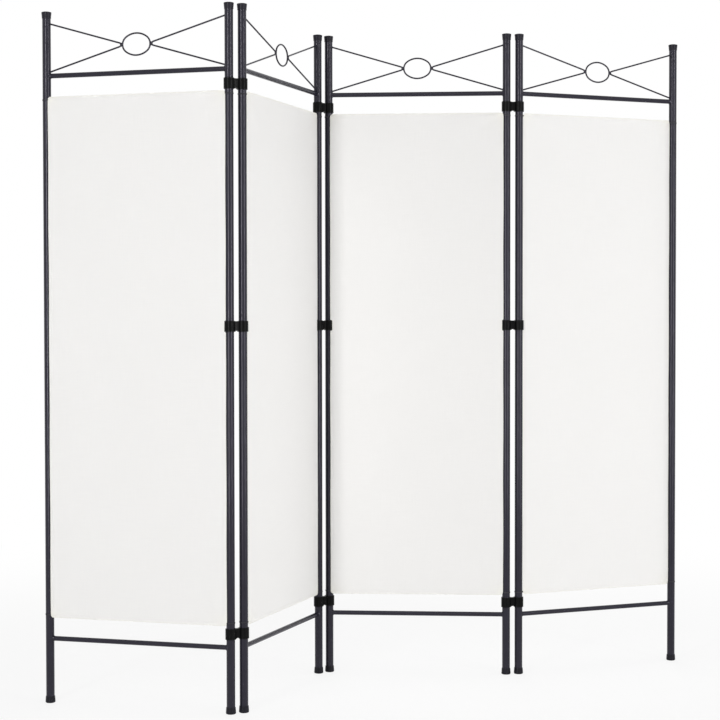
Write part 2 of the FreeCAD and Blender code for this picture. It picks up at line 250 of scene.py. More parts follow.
class Shader:
    """A material on a Principled shader, and the nodes that feed it."""

    def __init__(self, name, **constants):
        self.material = bpy.data.materials.new(name)
        self.material.use_nodes = True
        self.tree = self.material.node_tree
        self.surface = self.tree.nodes["Principled BSDF"]
        self.feed(**constants)

    def node(self, kind, sockets, output=0, **settings):
        """A node of any kind. Its settings are set first, then each socket gets its value or link."""
        node = self.tree.nodes.new(kind)
        for setting, value in settings.items():
            setattr(node, setting, value)
        for socket, value in sockets.items():
            self.put(node.inputs[socket], value)
        return Value(self, node.outputs[output])

    def put(self, socket, value):
        if isinstance(value, Value):
            self.tree.links.new(value.socket, socket)
        else:
            socket.default_value = value

    def feed(self, **inputs):
        """Links or sets the surface's inputs, such as Base_Color."""
        for socket, value in inputs.items():
            self.put(self.surface.inputs[socket.replace("_", " ")], value)
        return self.material

    def places(self):
        return self.node("ShaderNodeTexCoord", {}, "Object")

    def stretched(self, vector, scale):
        return self.node("ShaderNodeMapping", {"Vector": vector, "Scale": scale})

    def noise(self, vector, size):
        """Soft noise whose blobs are about size metres across."""
        return self.node("ShaderNodeTexNoise", {"Vector": vector, "Scale": 1 / size})

    def mixed(self, factor, first, second):
        first, second = [c if isinstance(c, Value) else (*c, 1) for c in (first, second)]
        return self.node("ShaderNodeMix", {0: factor, 6: first, 7: second}, 2, data_type="RGBA")

    def bumped(self, height, distance, strength=1.0):
        return self.node("ShaderNodeBump", {"Strength": strength, "Distance": distance, "Height": height})


def tinted(colour, times):
    """A colour made lighter, or darker below 1."""
    return tuple(min(1.0, c * times) for c in colour)


def powder_coat(finish):
    """Charcoal powder coat: satin, with the faint orange peel that it dries with, and painted glints for its
    sparkle.
    """
    colour = finish.paint_colour
    tint = (*finish.paint_tint, 1)
    shader = Shader("charcoal_powder_coat", Specular_IOR_Level=finish.paint_gloss, Specular_Tint=tint)
    places = shader.places()
    peel = shader.noise(places, finish.peel_size)
    grain = shader.noise(places, finish.peel_size / 4)
    cloud = shader.noise(places, 40 * finish.peel_size)
    shade = shader.mixed(cloud.clamped(0.3, 0.7), tinted(colour, 0.9), tinted(colour, 1.1))
    # Painted glints: the colour turns lighter where the fine grain peaks, standing in for the coat's sparkle
    shade = shader.mixed(grain.clamped(0.55, 0.75) * 0.35, shade, tinted(colour, 1.6))
    return shader.feed(
        Base_Color=shade,
        Roughness=finish.paint_roughness + (peel - 0.5) * 0.1,
        Normal=shader.bumped(peel + grain * 0.3, finish.peel_depth),
    )


def moulded_plastic(name, finish, piece):
    """Moulded plastic with the fine grain of its mould and a slightly uneven gloss, in a piece's settings."""
    colour, gloss, roughness = [getattr(finish, piece + look) for look in ("_colour", "_gloss", "_roughness")]
    shader = Shader(name, Specular_IOR_Level=gloss)
    places = shader.places()
    grain = shader.noise(places, finish.mould_grain)
    flow = shader.noise(shader.stretched(places, (1, 1, 0.3)), 25 * finish.mould_grain)
    return shader.feed(
        Base_Color=shader.mixed(flow.clamped(0.3, 0.7), tinted(colour, 0.85), tinted(colour, 1.2)),
        Roughness=roughness + (flow - 0.5) * 0.14,
        Normal=shader.bumped(grain, finish.mould_depth),
    )


def woven_cloth(sheets):
    """Plain woven polyester: warp and weft cross over and under by turns, with faint slubs along both."""
    colour = sheets.colour
    sheen = {"Sheen_Weight": 0.12, "Sheen_Roughness": 0.5, "Sheen_Tint": (1, 1, 1, 1)}
    shader = Shader("woven_polyester", Specular_IOR_Level=0.2, **sheen)
    maps = shader.node("ShaderNodeUVMap", {}, uv_map="surface")
    warp, weft = [shader.node("ShaderNodeSeparateXYZ", {0: maps}, axis) for axis in ("X", "Y")]
    turns = math.pi / sheets.thread_pitch
    warp_wave, weft_wave = (warp * turns).cosine(), (weft * turns).cosine()
    checker = warp_wave * weft_wave * 0.5
    weave = abs(warp_wave) * (checker + 0.5) + abs(weft_wave) * (0.5 - checker)
    slub = sheets.thread_pitch * 3
    long_way = shader.noise(shader.stretched(maps, (1, 0.03, 1)), slub)
    cross_way = shader.noise(shader.stretched(maps, (0.03, 1, 1)), slub)
    slubs = (long_way + cross_way) * 0.5
    cloud = shader.noise(maps, sheets.cloud_size)
    shade = shader.mixed(slubs.clamped(0.3, 0.7), tinted(colour, 0.985), tinted(colour, 1.012))
    shade = shader.mixed(cloud.clamped(0.3, 0.7) * 0.5, shade, tinted(colour, 0.99))
    # The folded rim and the corners have yellowed a little
    rim = shader.node("ShaderNodeAttribute", {}, "Fac", attribute_name="rim")
    corner = shader.node("ShaderNodeAttribute", {}, "Fac", attribute_name="corner")
    shade = shader.mixed(rim * sheets.rim_share, shade, sheets.rim_colour)
    shade = shader.mixed(corner * sheets.corner_share, shade, sheets.corner_colour)
    return shader.feed(
        Base_Color=shade,
        Roughness=0.86 + (slubs - 0.5) * 0.12,
        Normal=shader.bumped(weave + slubs * 0.6, sheets.thread_pitch * 0.12, 0.5),
    )


def thread(name, colour):
    """Sewing thread, with the fine ridges of its twist."""
    shader = Shader(name, Specular_IOR_Level=0.3, Sheen_Weight=0.1)
    twist = shader.noise(shader.places(), 0.35 * MILLIMETRE)
    ridges = shader.bumped(twist, 0.05 * MILLIMETRE)
    shade = shader.mixed(twist, tinted(colour, 0.85), tinted(colour, 1.05))
    return shader.feed(Base_Color=shade, Roughness=0.6 + twist * 0.15, Normal=ridges)


def knitted_elastic(loops):
    """Flat elastic: knit rows across the band, a little fuzzy, with painted highlights on them and painted
    shade between.
    """
    colour = loops.colour
    shader = Shader("black_elastic", Specular_IOR_Level=0.15, Sheen_Weight=0.06, Sheen_Roughness=0.5)
    maps = shader.node("ShaderNodeUVMap", {}, uv_map="surface")
    along = shader.node("ShaderNodeSeparateXYZ", {0: maps}, "X")
    rows = abs((along * (math.pi / loops.knit_pitch)).cosine())
    fuzz = shader.noise(shader.places(), 0.3 * MILLIMETRE)
    # Painted highlight and painted shade: the colour is lighter on the knit's ridges and darker in its
    # grooves, following the bump; the fuzz adds tone that differs at random
    shade = shader.mixed(rows * 0.6 + fuzz * 0.4, tinted(colour, 0.6), tinted(colour, 1.6))
    return shader.feed(
        Base_Color=shade,
        Roughness=0.75 + fuzz * 0.1,
        Normal=shader.bumped(rows + fuzz * 0.4, 0.12 * MILLIMETRE),
    )


# The sheets

class SheetCut:
    """One sheet's plan and outline, taken from its solid: the line that it lies on and its notches."""

    def __init__(self, panel, sheets):
        self.panel = panel
        self.sheets = sheets
        points = panel.local("fabric")
        self.bottom, self.top = points[:, 2].min(), points[:, 2].max()
        near = 0.05 * MILLIMETRE
        self.start = points[points[:, 0] < points[:, 0].min() + near, :2].mean(0)
        self.end = points[points[:, 0] > points[:, 0].max() - near, :2].mean(0)
        self.width = float(np.hypot(*(self.end - self.start)))
        self.height = float(self.top - self.bottom)
        self.across = (self.end - self.start) / self.width
        self.front = np.array([self.across[1], -self.across[0]])
        self.notches = [self.notch(side) for side in SIDES]

    def notch(self, side):
        """Depth of the notch round the middle clip, and the heights that it lies between, or none."""
        hinge = self.panel.number - 1 if side == "left" else self.panel.number
        if hinge not in HINGES:
            return 0.0, 0.0, 0.0
        points = node_points("hinge_{}_clips".format(hinge))
        halfway = self.bottom + self.height / 2
        clip = points[np.abs(points[:, 2] - halfway) < self.height / 4]
        low, high = clip[:, 2].min(), clip[:, 2].max()
        room = self.sheets.notch_room
        reach = self.ring_radius(clip, side) + room
        edge, inward = self.corner(side)
        depth = -edge @ inward + math.sqrt((edge @ inward) ** 2 - edge @ edge + reach ** 2)
        return depth, low - room - self.bottom, high + room - self.bottom

    def ring_radius(self, clip, side):
        """How far a clip reaches from its upright's axis on the side where its other ring isn't."""
        x = self.panel.spacing if side == "right" else 0.0
        offset = clip[:, :2] - self.panel.to_row([[x, 0, 0]])[0, :2]
        other = offset.mean(0)
        return float(-(offset @ (other / np.hypot(*other))).min())

    def corner(self, side):
        """The sheet's edge and its way inwards, both seen from the upright's axis with x inwards."""
        if side == "left":
            return self.start, self.across
        mirror = np.array([-1, 1])
        return (self.end - [self.panel.spacing, 0]) * mirror, -self.across * mirror

    def inset(self, height, side):
        """How far the outline lies inside the sheet's straight side at each height."""
        radius = self.sheets.corner_radius
        to_end = np.minimum(height, self.height - height)
        rise = np.clip(radius - to_end, 0, radius)
        round_off = radius - np.sqrt(radius ** 2 - rise ** 2)
        depth, low, high = self.notches[SIDES.index(side)]
        soft = self.sheets.notch_round
        cut = smooth_step((height - low) / soft + 0.5) * smooth_step((high - height) / soft + 0.5)
        phase = 1.7 * self.panel.number + (0.9 if side == "left" else 2.3)
        sway = 0.5 + 0.5 * np.sin(2 * np.pi * height / self.sheets.sway_length + phase)
        return round_off + depth * cut + self.sheets.sway_depth * sway

    def ripple(self, across, height):
        """How far the cloth stands off its plane: pulls that fan out from the loops, and long shallow waves.
        The turns only keep corners and sheets from looking alike."""
        sheets = self.sheets
        total = np.zeros(np.broadcast(across, height).shape)
        turn = 2.1 * self.panel.number
        for corner_x in (0.0, self.width):
            for corner_z in (0.0, self.height):
                x, z = np.abs(across - corner_x), np.abs(height - corner_z)
                far = np.hypot(x, z) / sheets.pull_reach
                fan = np.cos(sheets.pull_count * np.arctan2(z, x + 0.1 * MILLIMETRE) + turn)
                total += fan * far * np.exp(1 - far)
                turn += 1.3
        wave = np.sin(2 * np.pi * across / sheets.wave_across + turn)
        wave = wave * np.sin(np.pi * height / self.height) ** 2
        slant = height / sheets.slant_up + across / sheets.slant_across
        wave += 0.6 * np.sin(2 * np.pi * slant + 2 * turn)
        to_side = np.minimum(across, self.width - across)
        return sheets.ripple_depth * (total + 0.5 * wave) * smooth_step(to_side / (3 * sheets.hem_width))

    def half_thickness(self, to_edge):
        """Half the thickness at a distance from the edge: rounded rim, doubled hem, single cloth."""
        sheets = self.sheets
        inside = smooth_step((to_edge - sheets.hem_width) / sheets.hem_step + 0.5)
        hem, single = sheets.hem_thickness / 2, sheets.cloth_thickness / 2
        half = hem + (single - hem) * inside
        rim = np.clip(to_edge / hem, 0, 1)
        return half * np.sqrt(1 - (1 - rim) ** 2)

    def place(self, across, height, off):
        """Row-frame places from distances: across, over the lower edge and off the plane to the front."""
        across, height, off = np.broadcast_arrays(across, height, off)
        plan = self.start + across[..., None] * self.across + off[..., None] * self.front
        return self.panel.to_row(np.concatenate([plan, (self.bottom + height)[..., None]], axis=-1))


def edge_steps(sheets):
    """Distances from an edge at which the sheet's grid has lines: close at the rim and at the hem's step."""
    rim = np.array([0, 0.03, 0.12, 0.3, 0.55, 1, 1.7]) * sheets.hem_thickness
    step = sheets.hem_width + np.array([-1.5, -0.5, -0.25, 0, 0.25, 0.5, 1.5]) * sheets.hem_step
    return np.concatenate([rim, [0.25 * sheets.hem_width, 0.55 * sheets.hem_width], step])


def grid_lines(length, steps, spacing, extra=()):
    """Steps from both ends, even lines between them, and any extra ones, in order."""
    reach = steps[-1] + spacing / 2
    count = int(round((length - 2 * reach) / spacing)) + 1
    lines = np.concatenate([steps, np.linspace(reach, length - reach, count), length - steps, extra])
    return np.unique(np.round(lines, 7))


def sheet_mesh(cut):
    """The sheet as a closed grid. Near a side, a vertex lies at its column's distance plus the inset. It
    stands off the plane by the ripple, plus half the thickness on the front and minus it on the back."""
    sheets = cut.sheets
    steps = edge_steps(sheets)
    notch_rows = []
    for depth, low, high in cut.notches:
        if depth > 0:
            spread = np.linspace(-0.6, 0.6, 7) * sheets.notch_round
            notch_rows += list(low + spread) + list(high + spread)
    rows = grid_lines(cut.height, np.union1d(steps, sheets.corner_radius * np.array([0.5, 0.75, 1])),
                      sheets.grid_spacing, notch_rows)
    columns = grid_lines(cut.width, steps, sheets.grid_spacing)
    height = rows[:, None]
    left, right = [cut.inset(height, side) for side in SIDES]
    # Lines near a side keep their distance from it, and those between share out what is left
    keep_left = smooth_step((columns - 2 * steps[-1]) / (0.3 * cut.width))
    keep_right = smooth_step((cut.width - columns - 2 * steps[-1]) / (0.3 * cut.width))
    across = columns + left * (1 - keep_left) - right * (1 - keep_right)
    to_side = np.minimum(across - left, cut.width - right - across)
    to_end = np.minimum(height, cut.height - height)
    to_edge = np.minimum(to_side, to_end)
    ripple = cut.ripple(across, height)
    half = cut.half_thickness(to_edge)
    # At the edge itself the two faces meet exactly
    half[[0, -1]] = 0
    half[:, [0, -1]] = 0
    surfaces = [cut.place(across, height, ripple + sign * half) for sign in (1, -1)]
    faces = grid_faces(len(rows), len(columns))
    maps = np.stack(np.broadcast_arrays(across, height), axis=-1)
    points, quads = joined([(surfaces[0], faces), (surfaces[1], faces[:, ::-1])])
    corner = np.exp(-np.hypot(np.minimum(across, cut.width - across), to_end) / (2 * sheets.hem_width))
    rim = np.exp(-np.maximum(to_edge, 0) / sheets.rim_width)
    masks = [("rim", np.stack([rim, rim])), ("corner", np.stack([corner, corner]))]
    return points, quads, np.stack([maps, maps]), masks


def stitch_places(length, margin, pitch):
    """Even places along a length, about a pitch apart, with a margin at both ends."""
    count = int((length - 2 * margin) / pitch)
    return margin + (np.arange(count) + 0.5) * (length - 2 * margin) / count


def hem_stitches(cut):
    """Stitches along the hem's seam, on both faces, sunk a little into the cloth."""
    sheets = cut.sheets
    seam = sheets.hem_width - sheets.seam_inset
    height = stitch_places(cut.height, seam, sheets.stitch_pitch)
    across = stitch_places(cut.width, seam, sheets.stitch_pitch)
    runs = [
        (cut.inset(height, "left") + seam, height, (0, 1)),
        (cut.width - cut.inset(height, "right") - seam, height, (0, 1)),
        (across, np.full(across.size, seam), (1, 0)),
        (across, np.full(across.size, cut.height - seam), (1, 0)),
    ]
    parts = []
    half = sheets.hem_thickness / 2 + 0.15 * sheets.thread_diameter
    sideways, out = cut.panel.way_in_row(cut.across), cut.panel.way_in_row(cut.front)
    for x, z, way in runs:
        ripple = cut.ripple(x, z)
        along = sideways * way[0] + UPWARDS * way[1]
        beside = sideways * way[1] + UPWARDS * way[0]
        for sign in (1, -1):
            centres = cut.place(x, z, ripple + sign * half)
            parts.append(spindles(centres, along, beside, out, sheets.stitch_length, sheets.thread_diameter))
    return joined(parts)


# The elastic loops

def loop_path(cut, side, loops):
    """A loop's middle line in plan, from the upright's axis with x inwards: out of the hem on a tangent,
    round the upright, back on a tangent and along the sheet's back. Also where it reaches that back, and the
    sheet's way inwards."""
    edge, inward = cut.corner(side)
    front = np.array([inward[1], -inward[0]])
    radius = cut.panel.pole_radius + loops.slack + loops.thickness / 2
    start = edge + inward * loops.tuck
    off = (cut.sheets.hem_thickness + loops.thickness) / 2
    end = edge + inward * loops.lead - off * front
    turns = [math.atan2(-p[1], p[0]) for p in (start, end)]
    opening = [math.acos(radius / math.hypot(*p)) for p in (start, end)]
    sweep = np.linspace(turns[0] + opening[0], 2 * math.pi + turns[1] - opening[1], 72)
    circle = radius * np.stack([np.cos(sweep), -np.sin(sweep)], axis=1)
    tail = end + np.linspace(0, 1, 8)[:, None] * inward * loops.sewn_length
    return even_path(np.concatenate([start[None], circle, tail]), 100), end, inward


def distances(path):
    """How far along a line in plan each of its points lies."""
    return np.concatenate([[0], np.cumsum(np.hypot(*np.diff(path, axis=0).T))])


def at_height(plan, height):
    return np.column_stack([plan, np.full(len(plan), height)])


def even_path(path, count):
    """A line resampled at even distances, with its corners eased by averaging neighbours."""
    far = distances(path)
    wanted = np.linspace(0, far[-1], count)
    even = np.stack([np.interp(wanted, far, path[:, k]) for k in (0, 1)], axis=1)
    for _ in range(2):
        even[1:-1] = (even[:-2] + 2 * even[1:-1] + even[2:]) / 4
    return even


def loop_parts(cut, side, height, loops):
    """One elastic loop and its bar tacks, which sew it to the sheet's back, and the loop's map."""
    path, end, inward = loop_path(cut, side, loops)
    tangent = unit(np.gradient(path, axis=0))
    out = np.stack([-tangent[:, 1], tangent[:, 0]], axis=1)
    turn = np.linspace(0, 2 * np.pi, 40, endpoint=False)
    # A flat band with cords along it: its width goes as the cosine, its thickness as a low power of the sine
    wide = loops.width / 2 * np.cos(turn)
    cords = 1 + loops.cord_depth * np.cos(2 * np.pi * loops.cord_count * wide / loops.width)
    thick = loops.thickness / 2 * np.sign(np.sin(turn)) * np.abs(np.sin(turn)) ** 0.35 * cords
    profile = np.stack([thick, wide], axis=1)
    line = at_height(path, height)
    points, faces = swept(line, profile, at_height(out, 0), np.broadcast_to(UPWARDS, line.shape))
    far = distances(path)
    far = np.concatenate([far[:1], far, far[-1:]])
    maps = np.stack(np.broadcast_arrays(far[:, None], wide[None]), axis=-1)
    # The tacks keep to the middle of the sewn end
    shares = 0.15 + 0.7 * np.arange(loops.tack_count)[:, None] / (loops.tack_count - 1)
    behind = np.array([-inward[1], inward[0]])
    spots = end + shares * loops.sewn_length * inward + behind * loops.thickness / 2
    tacks = spindles(at_height(spots, height), UPWARDS, np.append(inward, 0), np.append(behind, 0),
                     loops.tack_share * loops.width, cut.sheets.thread_diameter)
    return [(in_row(cut, side, points), faces), (in_row(cut, side, tacks[0]), tacks[1])], maps


def in_row(cut, side, points):
    """Places seen from an upright's axis with x inwards, in the row frame."""
    points = np.array(points, float).reshape(-1, 3)
    if side == "right":
        points[:, 0] = cut.panel.spacing - points[:, 0]
    return cut.panel.to_row(points)


# The welds

def weld_bead(foot, way, tube_radius, pole_radius, bead, welds):
    """The bead where a tube or rod meets the upright at the origin: lines along the tube's wall are followed
    to the upright's, and a circle is carried round the closed curve that they end on, its radius rippling."""
    way = unit(way)
    side = unit(np.cross(way, UPWARDS))
    over = np.cross(side, way)
    turn = np.linspace(0, 2 * np.pi, welds.bead_steps, endpoint=False)[:, None]
    radial = np.cos(turn) * side + np.sin(turn) * over
    lines = foot - way * 4 * pole_radius + tube_radius * radial
    # Where each line meets the upright's round wall: the nearer root of a quadratic
    a = way[0] ** 2 + way[1] ** 2
    b = lines[:, :2] @ way[:2]
    c = (lines[:, :2] ** 2).sum(1) - pole_radius ** 2
    reach = (-b - np.sqrt(b * b - a * c)) / a
    path = lines + reach[:, None] * way
    tangent = unit(np.roll(path, -1, axis=0) - np.roll(path, 1, axis=0))
    up = unit(np.cross(tangent, radial))
    across = np.cross(up, tangent)
    length = np.linalg.norm(np.roll(path, -1, axis=0) - path, axis=1).sum()
    ripples = max(3, round(length / welds.ripple_pitch))
    swell = 1 + welds.ripple_share * np.cos(ripples * turn[:, 0]) ** 3
    angle = np.linspace(0, 2 * np.pi, 10, endpoint=False)
    circle = bead * np.stack([np.cos(angle), np.sin(angle)], axis=1)
    return swept(path, circle, across * swell[:, None], up * swell[:, None], True)


def lump(centre, sizes, turn):
    """A weld spot: an ellipsoid of those half sizes, its radius rippling with latitude and longitude."""
    rise = np.linspace(-np.pi / 2, np.pi / 2, 13)[:, None]
    circle = np.linspace(0, 2 * np.pi, 20, endpoint=False)[None]
    swell = 1 + 0.06 * np.cos(rise) * np.sin(3 * circle + turn) * np.cos(5 * rise + turn)
    shape = [np.cos(rise) * np.cos(circle), np.cos(rise) * np.sin(circle), np.sin(rise) + 0 * circle]
    points = np.stack([swell * s for s in shape], axis=-1) * sizes + centre
    return points, grid_faces(rise.size, circle.size, False, True)


def rod_foot(panel, upper):
    """Where a header rod's leg meets the left upright: the middle of its cut end."""
    points = panel.local("cross_rods")
    middle = (points[:, 2].min() + points[:, 2].max()) / 2
    near = points[(points[:, 0] < panel.pole_radius + MILLIMETRE) & ((points[:, 2] > middle) == upper)]
    return (near.min(0) + near.max(0)) / 2


# A weld spot's half sizes and its middle's height over the ring's, in radii of the rod
SPOT_SIZE = np.array([0.85, 0.8, 1.25])
SPOT_RISE = 1.2


def weld_parts(panel, welds):
    """A panel's welds: a bead round each end of each rail and rod, and two spots on each side of the ring."""
    ring = panel.local("oval_ring")
    ring_low, ring_high = ring.min(0), ring.max(0)
    middle = (ring_low + ring_high) / 2
    rods = panel.local("cross_rods")
    rod_radius = (rods[:, 1].max() - rods[:, 1].min()) / 2
    one_side = []
    for piece in ("top_rail", "bottom_rail"):
        points = panel.local(piece)
        foot = np.array([0, 0, (points[:, 2].min() + points[:, 2].max()) / 2])
        bead = weld_bead(foot, (-1, 0, 0), welds.rail_diameter / 2, panel.pole_radius, welds.rail_bead, welds)
        one_side.append(bead)
    apex = np.array([ring_low[0] - 2 * rod_radius, 0, middle[2]])
    for upper in (True, False):
        foot = rod_foot(panel, upper)
        foot[1] = 0
        way = foot - apex
        one_side.append(weld_bead(foot, way, rod_radius, panel.pole_radius, welds.rod_bead, welds))
    for up in (-1, 1):
        centre = np.array([ring_low[0] - welds.spot_gap, 0, middle[2] + up * SPOT_RISE * rod_radius])
        one_side.append(lump(centre, SPOT_SIZE * rod_radius, panel.number + up))
    points, faces = joined(one_side)
    mirrored = points * [-1, 1, 1] + [panel.spacing, 0, 0]
    points, faces = joined([(points, faces), (mirrored, faces[:, ::-1])])
    return panel.to_row(points), faces


# Sizes and colours that a user may change

def millimetres(name, description, length):
    """A length, given in millimetres and kept in metres."""
    metres = length * MILLIMETRE
    return FloatProperty(name=name, description=description, unit="LENGTH", min=0, default=metres)


def rgb(name, description, default):
    return FloatVectorProperty(name=name, description=description, subtype="COLOR", min=0, max=1,
                               default=default)


def share(name, description, default):
    """A share from 0 to 1."""
    return FloatProperty(name=name, description=description, subtype="FACTOR", min=0, max=1, default=default)


def degrees(name, description, angle):
    """An angle, given in degrees and kept in radians."""
    return FloatProperty(name=name, description=description, subtype="ANGLE", default=math.radians(angle))


class SheetSettings(bpy.types.PropertyGroup):
    colour: rgb("Cloth", "Colour of the cloth", (0.885, 0.877, 0.864))
    rim_colour: rgb("Rim", "Colour at the folded rim", (0.9, 0.885, 0.80))
    rim_share: share("Rim share", "How far the rim takes its colour", 0.7)
    rim_width: millimetres("Rim width", "How far the rim's colour reaches", 2.2)
    corner_colour: rgb("Corners", "Colour at the yellowed corners", (0.9, 0.88, 0.79))
    corner_share: share("Corner share", "How far the corners take their colour", 0.8)
    cloud_size: millimetres("Clouds", "Size of the clouds in the cloth's colour", 160)
    cloth_thickness: millimetres("Cloth thickness", "Thickness of the single cloth", 0.36)
    hem_thickness: millimetres("Hem thickness", "Thickness of the turned hem", 0.8)
    hem_width: millimetres("Hem width", "Width of the hem", 9)
    hem_step: millimetres("Hem step", "Width over which the hem's step falls", 0.8)
    corner_radius: millimetres("Corner radius", "Radius of the sheet's corners", 8)
    notch_room: millimetres("Notch room", "Gap left round the middle clips", 0.8)
    notch_round: millimetres("Notch rounding", "Height over which a notch runs out", 4)
    sway_depth: millimetres("Sway", "How far the upright edges wander", 0.7)
    sway_length: millimetres("Sway length", "Length of one wander of an edge", 310)
    ripple_depth: millimetres("Ripple", "Depth of the ripples in the cloth", 0.5)
    wave_across: millimetres("Upright waves", "Width of the upright waves", 230)
    slant_up: millimetres("Slanting waves, up", "Height of the slanting waves", 610)
    slant_across: millimetres("Slanting waves, across", "Width of the slanting waves", 900)
    pull_count: IntProperty(name="Pulls", description="Pulls in a full turn round a corner", min=1, default=9)
    pull_reach: millimetres("Pull reach", "How far the pulls reach from a corner", 55)
    grid_spacing: millimetres("Grid", "Spacing of the sheet's grid", 7)
    thread_pitch: millimetres("Weave", "Pitch of the weave's threads", 0.6)
    thread_diameter: millimetres("Sewing thread", "Diameter of the sewing thread", 0.42)
    stitch_length: millimetres("Stitch", "Length of a stitch", 2.7)
    stitch_pitch: millimetres("Stitch pitch", "Distance from stitch to stitch", 3.3)
    seam_inset: millimetres("Seam inset", "How far the seam lies inside the hem's step", 1.5)


class LoopSettings(bpy.types.PropertyGroup):
    colour: rgb("Elastic", "Colour of the elastic", (0.03, 0.029, 0.034))
    thread_colour: rgb("Thread", "Colour of the bar tacks' thread", (0.03, 0.03, 0.032))
    width: millimetres("Width", "Width of a loop", 3.4)
    thickness: millimetres("Thickness", "Thickness of a loop", 0.6)
    slack: millimetres("Slack", "Gap between loop and upright", 0.15)
    tuck: millimetres("Tuck", "How far a loop's front end reaches into the hem", 1.5)
    lead: millimetres("Lead", "How far inside the sheet's edge a loop reaches its back", 3.5)
    sewn_length: millimetres("Sewn length", "How much of a loop is sewn to the sheet", 9)
    cord_count: IntProperty(name="Cords", description="Rubber cords across the band", min=1, default=5)
    cord_depth: share("Cord depth", "How far the cords swell the band, as a share of it", 0.14)
    knit_pitch: millimetres("Knit", "Pitch of the rows of knit", 0.7)
    tack_count: IntProperty(name="Tacks", description="Bars of thread that sew a loop down", min=2, default=6)
    tack_share: share("Tack length", "Length of a bar tack, as a share of the loop's width", 0.9)


class WeldSettings(bpy.types.PropertyGroup):
    rail_diameter: millimetres("Rail", "Diameter of the rails", 12.7)
    rail_bead: millimetres("Rail bead", "Radius of the weld bead at the rails", 1.35)
    rod_bead: millimetres("Rod bead", "Radius of the weld bead at the rods", 0.8)
    ripple_pitch: millimetres("Ripple pitch", "Distance from ripple to ripple of a bead", 1.7)
    ripple_share: share("Ripple", "How far the bead swells, as a share of its radius", 0.1)
    bead_steps: IntProperty(name="Steps", description="Steps round a bead", min=8, default=160)
    spot_gap: millimetres("Spot gap", "How far outside the ring a spot's middle lies", 0.3)


class FinishSettings(bpy.types.PropertyGroup):
    paint_colour: rgb("Paint", "Colour of the powder coat", (0.0135, 0.0125, 0.021))
    paint_tint: rgb("Paint tint", "Colour of the powder coat's gloss", (0.93, 0.9, 1))
    paint_gloss: share("Paint gloss", "Specular level of the powder coat", 0.33)
    paint_roughness: share("Paint roughness", "Roughness of the powder coat", 0.17)
    peel_size: millimetres("Orange peel", "Size of the powder coat's peel", 1.1)
    peel_depth: millimetres("Peel depth", "Depth of the powder coat's peel", 0.02)
    clip_colour: rgb("Clips", "Colour of the hinge clips", (0.004, 0.004, 0.0042))
    clip_gloss: share("Clip gloss", "Specular level of the hinge clips", 0.07)
    clip_roughness: share("Clip roughness", "Roughness of the hinge clips", 0.28)
    cap_colour: rgb("Caps", "Colour of the caps", (0.014, 0.013, 0.02))
    cap_gloss: share("Cap gloss", "Specular level of the caps", 0.16)
    cap_roughness: share("Cap roughness", "Roughness of the caps", 0.36)
    foot_colour: rgb("Feet", "Colour of the feet", (0.011, 0.0105, 0.015))
    foot_gloss: share("Foot gloss", "Specular level of the feet", 0.14)
    foot_roughness: share("Foot roughness", "Roughness of the feet", 0.44)
    mould_grain: millimetres("Mould grain", "Size of the plastic's grain", 0.5)
    mould_depth: millimetres("Grain depth", "Depth of the plastic's grain", 0.015)


class StageSettings(bpy.types.PropertyGroup):
    floor_colour: rgb("Floor", "Colour of the floor", (0.92, 0.92, 0.92))
    floor_radius: millimetres("Floor radius", "Radius of the floor", 30000)
    shadow_share: share("Shadow", "Share of the floor's look that keeps the shadow", 0.15)
    shadow_start: millimetres("Shadow start", "Distance at which the shadow starts to fade", 1000)
    shadow_end: millimetres("Shadow end", "Distance at which it has faded", 3200)
    ambient: FloatProperty(name="Ambient", description="Strength of the even light from all round", min=0,
                           default=0.27)
    camera_place: FloatVectorProperty(name="Camera", description="Place of the camera", unit="LENGTH",
                                      default=(-0.050, -4.514, 1.007))
    camera_pitch: degrees("Pitch", "How far the camera looks up", -1.47)
    camera_roll: degrees("Roll", "How far the camera leans over", -0.07)
    lens: FloatProperty(name="Lens", description="Focal length in millimetres", min=1, default=82.8)


GROUPS = {
    "screen_sheets": SheetSettings,
    "screen_loops": LoopSettings,
    "screen_welds": WeldSettings,
    "screen_finish": FinishSettings,
    "screen_stage": StageSettings,
}


# Operators, one for each piece or group of like pieces

class FrameFinish(bpy.types.Operator):
    """Paints the tubes, rails, rods and rings, and gives clips, caps and feet their moulded plastic"""

    bl_idname = "screen.frame_finish"
    bl_label = "Finish frame"

    def execute(self, context):
        finish = context.scene.screen_finish
        paint = powder_coat(finish)
        clips = moulded_plastic("black_clip_plastic", finish, "clip")
        caps = moulded_plastic("charcoal_cap_plastic", finish, "cap")
        feet = moulded_plastic("charcoal_foot_plastic", finish, "foot")
        looks = {"hinge_{}_clips".format(hinge): clips for hinge in HINGES}
        for panel in PANELS:
            prefix = "panel_{}_".format(panel)
            looks.update({prefix + piece: paint for piece in PAINTED})
            looks[prefix + "caps"] = caps
            looks[prefix + "feet"] = feet
        for node, material in looks.items():
            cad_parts[node].material_slots[0].material = material
        return {"FINISHED"}


class Sheets(bpy.types.Operator):
    """Makes the four stretched sheets with their hems and stitches"""

    bl_idname = "screen.sheets"
    bl_label = "Sheets"

    def execute(self, context):
        sheets = context.scene.screen_sheets
        cloth = woven_cloth(sheets)
        sewing = thread("white_thread", sheets.colour)
        for number in PANELS:
            panel = PanelFrame(number)
            cut = SheetCut(panel, sheets)
            piece = mesh_object("screen_sheet_{}".format(number), *sheet_mesh(cut))
            dress(piece, panel.body, cloth)
            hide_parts(panel.node("fabric"))
            seams = mesh_object("hem_stitches_{}".format(number), *hem_stitches(cut))
            dress(seams, panel.body, sewing)
            uprights = [panel.node(side + "_middle_tubes") for side in SIDES]
        return {"FINISHED"}


